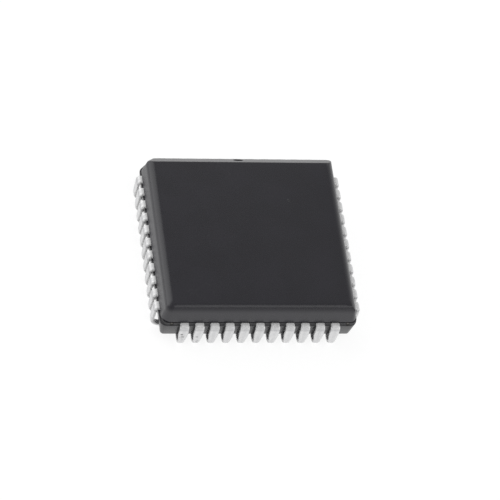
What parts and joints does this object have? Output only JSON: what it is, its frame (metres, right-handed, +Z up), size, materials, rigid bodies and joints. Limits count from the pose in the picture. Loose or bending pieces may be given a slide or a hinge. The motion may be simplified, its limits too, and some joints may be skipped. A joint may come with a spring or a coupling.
{
  "type": "plastic leaded chip carrier",
  "caption": "Square black moulded chip package with J-shaped leads folded under all four sides, an index chamfer and bevel, and a lead frame, die and bond wires inside",
  "frame": {"origin": "centre of the seating plane, on which the leads stand", "axes": "+Z up out of the top face, +Y towards the side with the bevel and lead 1, +X right of it seen from above"},
  "size_m": [0.0174, 0.0174, 0.0044],
  "materials": {
    "resin": "fine satin moulded texture, duller on the band between the leads",
    "lead_plating": "satin tin plating",
    "frame_alloy": "dull copper alloy strip",
    "attach_paste": "cured silver-filled epoxy",
    "silicon": "polished silicon",
    "gold_wire": "bright gold wire"
  },
  "bodies": {
    "root": {"body": "resin", "die_paddle": "frame_alloy", "die_attach": "attach_paste", "die": "silicon", "bond_wires": "gold_wire", "lead_01": "lead_plating", "lead_02": "lead_plating", "lead_03": "lead_plating", "lead_04": "lead_plating", "lead_05": "lead_plating", "lead_06": "lead_plating", "lead_07": "lead_plating", "lead_08": "lead_plating", "lead_09": "lead_plating", "lead_10": "lead_plating", "lead_11": "lead_plating", "lead_12": "lead_plating", "lead_13": "lead_plating", "lead_14": "lead_plating", "lead_15": "lead_plating", "lead_16": "lead_plating", "lead_17": "lead_plating", "lead_18": "lead_plating", "lead_19": "lead_plating", "lead_20": "lead_plating", "lead_21": "lead_plating", "lead_22": "lead_plating", "lead_23": "lead_plating", "lead_24": "lead_plating", "lead_25": "lead_plating", "lead_26": "lead_plating", "lead_27": "lead_plating", "lead_28": "lead_plating", "lead_29": "lead_plating", "lead_30": "lead_plating", "lead_31": "lead_plating", "lead_32": "lead_plating", "lead_33": "lead_plating", "lead_34": "lead_plating", "lead_35": "lead_plating", "lead_36": "lead_plating", "lead_37": "lead_plating", "lead_38": "lead_plating", "lead_39": "lead_plating", "lead_40": "lead_plating", "lead_41": "lead_plating", "lead_42": "lead_plating", "lead_43": "lead_plating", "lead_44": "lead_plating"}
  },
  "joints": []
}
